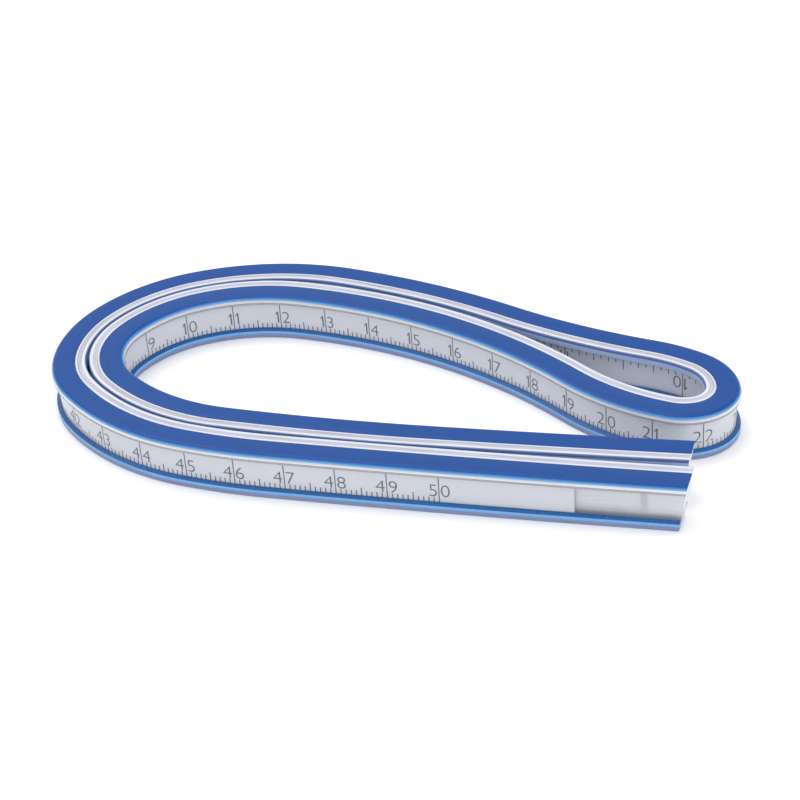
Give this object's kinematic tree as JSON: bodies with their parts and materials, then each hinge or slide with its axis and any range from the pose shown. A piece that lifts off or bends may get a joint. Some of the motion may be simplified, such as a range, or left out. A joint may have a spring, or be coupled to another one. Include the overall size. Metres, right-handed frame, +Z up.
{
  "type": "flexible curve ruler",
  "caption": "Flexible curve ruler: a bendable clear strip with blue bands, scale tapes in side pockets and a lead core, bent into nested U turns and a tight loop.",
  "frame": {"origin": "middle of the bounding box at the surface the ruler lies on", "axes": "+Z up, +X along the bent ruler's longest extent, towards the free ends and the tight loop"},
  "size_m": [0.137, 0.089, 0.01],
  "materials": {
    "sleeve": "clear soft PVC, satin gloss",
    "band": "blue PVC, satin",
    "plug": "whitish clear PVC",
    "tape": "pale grey film, printed in dark grey",
    "lead": "dull grey lead",
    "spring_steel": "plain rolled steel"
  },
  "bodies": {
    "zero_tip": {"sleeve_zero_tip": "sleeve", "top_band_zero_tip": "band", "bottom_band_zero_tip": "band", "end_plug_zero": "plug"},
    "zero_arm": {"sleeve_zero_arm": "sleeve", "top_band_zero_arm": "band", "bottom_band_zero_arm": "band"},
    "inner_1": {"sleeve_inner_1": "sleeve", "top_band_inner_1": "band", "bottom_band_inner_1": "band"},
    "inner_2": {"sleeve_inner_2": "sleeve", "top_band_inner_2": "band", "bottom_band_inner_2": "band"},
    "inner_3": {"sleeve_inner_3": "sleeve", "top_band_inner_3": "band", "bottom_band_inner_3": "band"},
    "inner_4": {"sleeve_inner_4": "sleeve", "top_band_inner_4": "band", "bottom_band_inner_4": "band"},
    "back_loop": {"sleeve_back_loop": "sleeve", "top_band_back_loop": "band", "bottom_band_back_loop": "band", "scale_tape_cm": "tape", "scale_tape_inch": "tape", "lead_core": "lead", "spring_strip_cm": "spring_steel", "spring_strip_inch": "spring_steel"},
    "outer_1": {"sleeve_outer_1": "sleeve", "top_band_outer_1": "band", "bottom_band_outer_1": "band"},
    "outer_2": {"sleeve_outer_2": "sleeve", "top_band_outer_2": "band", "bottom_band_outer_2": "band"},
    "outer_3": {"sleeve_outer_3": "sleeve", "top_band_outer_3": "band", "bottom_band_outer_3": "band"},
    "outer_4": {"sleeve_outer_4": "sleeve", "top_band_outer_4": "band", "bottom_band_outer_4": "band"},
    "fifty_arm": {"sleeve_fifty_arm": "sleeve", "top_band_fifty_arm": "band", "bottom_band_fifty_arm": "band"},
    "fifty_tip": {"sleeve_fifty_tip": "sleeve", "top_band_fifty_tip": "band", "bottom_band_fifty_tip": "band", "end_plug_fifty": "plug"}
  },
  "joints": [
    {"name": "unroll_outer_1", "type": "hinge", "parent": "back_loop", "child": "outer_1", "pos_m": [-0.02467, 0.04091, 0.005], "axis": [0, 0, -1], "range_deg": [0, 36], "deforming": ["scale_tape_cm", "scale_tape_inch", "lead_core", "spring_strip_cm", "spring_strip_inch"]},
    {"name": "unroll_outer_2", "type": "hinge", "parent": "outer_1", "child": "outer_2", "pos_m": [-0.05072, 0.0352, 0.005], "axis": [0, 0, -1], "range_deg": [0, 36.02]},
    {"name": "unroll_outer_3", "type": "hinge", "parent": "outer_2", "child": "outer_3", "pos_m": [-0.0631, 0.02107, 0.005], "axis": [0, 0, -1], "range_deg": [0, 36.02]},
    {"name": "unroll_outer_4", "type": "hinge", "parent": "outer_3", "child": "outer_4", "pos_m": [-0.06434, 0.00671, 0.005], "axis": [0, 0, -1], "range_deg": [0, 36.02]},
    {"name": "unroll_outer_5", "type": "hinge", "parent": "outer_4", "child": "fifty_arm", "pos_m": [-0.05214, -0.01031, 0.005], "axis": [0, 0, -1], "range_deg": [0, 36.02]},
    {"name": "unroll_inner_5", "type": "hinge", "parent": "back_loop", "child": "inner_4", "pos_m": [-0.02985, 0.03351, 0.005], "axis": [0, 0, -1], "range_deg": [0, 36.02]},
    {"name": "unroll_inner_4", "type": "hinge", "parent": "inner_4", "child": "inner_3", "pos_m": [-0.04865, 0.02755, 0.005], "axis": [0, 0, -1], "range_deg": [0, 36.02]},
    {"name": "unroll_inner_3", "type": "hinge", "parent": "inner_3", "child": "inner_2", "pos_m": [-0.05668, 0.01702, 0.005], "axis": [0, 0, -1], "range_deg": [0, 36.02]},
    {"name": "unroll_inner_2", "type": "hinge", "parent": "inner_2", "child": "inner_1", "pos_m": [-0.05649, 0.00704, 0.005], "axis": [0, 0, -1], "range_deg": [0, 36.02]},
    {"name": "unroll_inner_1", "type": "hinge", "parent": "inner_1", "child": "zero_arm", "pos_m": [-0.04462, -0.00662, 0.005], "axis": [0, 0, -1], "range_deg": [0, 36.02]},
    {"name": "zero_tip_bend", "type": "hinge", "parent": "zero_arm", "child": "zero_tip", "pos_m": [0.02237, -0.02576, 0.005], "axis": [0, 0, 1], "range_deg": [0, 9], "deforming": ["scale_tape_cm", "scale_tape_inch", "lead_core", "spring_strip_cm", "spring_strip_inch"]},
    {"name": "fifty_tip_bend", "type": "hinge", "parent": "fifty_arm", "child": "fifty_tip", "pos_m": [0.0211, -0.03356, 0.005], "axis": [0, 0, -1], "range_deg": [0, 30], "deforming": ["scale_tape_cm", "scale_tape_inch", "lead_core", "spring_strip_cm", "spring_strip_inch"]}
  ],
  "couplings": [
    {"joint": "unroll_outer_2", "follows": "unroll_outer_1", "ratio": 1},
    {"joint": "unroll_outer_3", "follows": "unroll_outer_1", "ratio": 1},
    {"joint": "unroll_outer_4", "follows": "unroll_outer_1", "ratio": 1},
    {"joint": "unroll_outer_5", "follows": "unroll_outer_1", "ratio": 1},
    {"joint": "unroll_inner_5", "follows": "unroll_outer_1", "ratio": 1},
    {"joint": "unroll_inner_4", "follows": "unroll_outer_1", "ratio": 1},
    {"joint": "unroll_inner_3", "follows": "unroll_outer_1", "ratio": 1},
    {"joint": "unroll_inner_2", "follows": "unroll_outer_1", "ratio": 1},
    {"joint": "unroll_inner_1", "follows": "unroll_outer_1", "ratio": 1}
  ]
}
